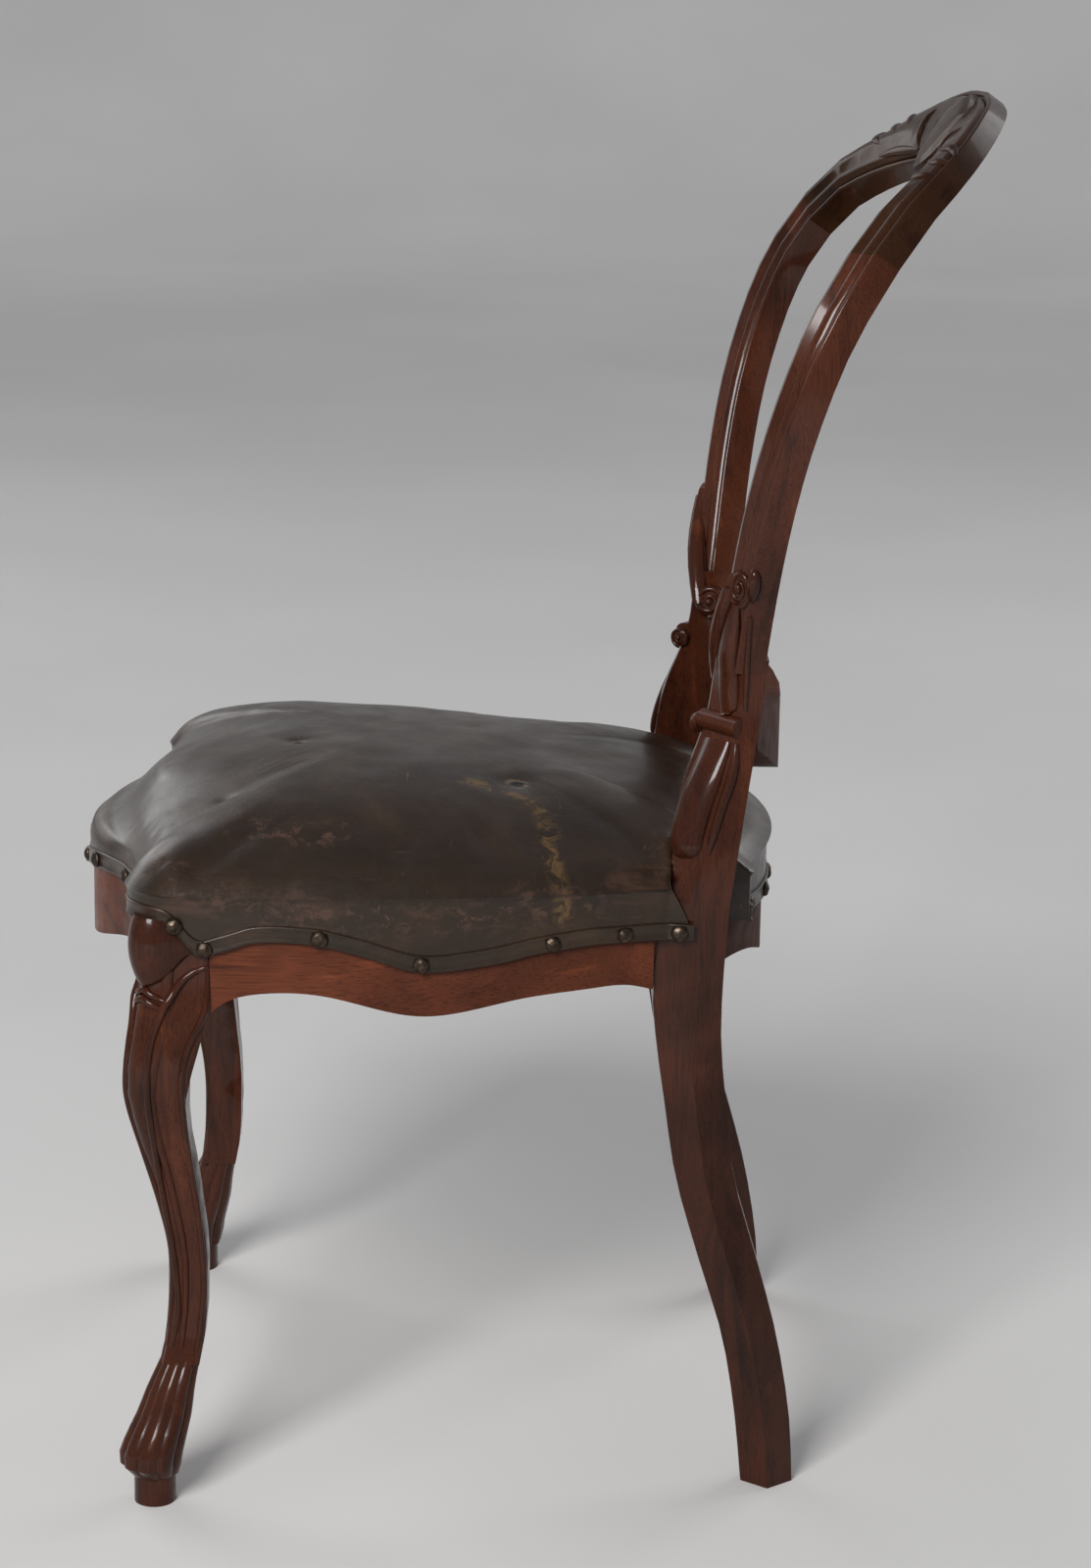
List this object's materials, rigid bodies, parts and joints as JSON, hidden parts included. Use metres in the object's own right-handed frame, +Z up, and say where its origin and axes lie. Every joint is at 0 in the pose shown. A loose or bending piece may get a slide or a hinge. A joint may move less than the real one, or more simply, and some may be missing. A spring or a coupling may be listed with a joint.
{
  "type": "dining chair",
  "caption": "Balloon-shaped open medallion back dining chair with cabriole front legs, bowed seat rails and a stuffed leather seat edged with banding and dome nails",
  "frame": {"origin": "on the floor at the middle of the bounding box", "axes": "+Z up, the sitter faces -Y, +X is the sitter's left"},
  "size_m": [0.4514, 0.6019, 0.8995],
  "materials": {
    "polished_wood": "dark red-brown stained and polished hardwood",
    "plain_wood": "plain unfinished beech",
    "leather": "worn, nearly black glossy leather",
    "stuffing": "curled horsehair",
    "hessian": "coarse woven jute",
    "webbing": "heavy woven jute",
    "iron": "dark blued iron",
    "brass": "tarnished dark brass"
  },
  "bodies": {
    "root": {"left_front_leg": "polished_wood", "right_front_leg": "polished_wood", "left_back_post": "polished_wood", "right_back_post": "polished_wood", "crest_rail": "polished_wood", "lower_back_rail": "polished_wood", "left_waist_scroll": "polished_wood", "right_waist_scroll": "polished_wood", "left_side_rail": "polished_wood", "right_side_rail": "polished_wood", "front_seat_rail": "polished_wood", "back_seat_rail": "polished_wood", "left_front_corner_block": "plain_wood", "right_front_corner_block": "plain_wood", "left_back_corner_block": "plain_wood", "right_back_corner_block": "plain_wood", "block_screws": "iron", "seat_dowels": "plain_wood", "crest_dowels": "plain_wood", "lower_rail_dowels": "plain_wood", "webbing_across": "webbing", "webbing_along": "webbing", "webbing_tacks": "iron", "hessian": "hessian", "stuffing": "stuffing", "leather_cover": "leather", "leather_banding": "leather", "back_banding": "leather", "dome_nails": "brass"}
  },
  "joints": []
}
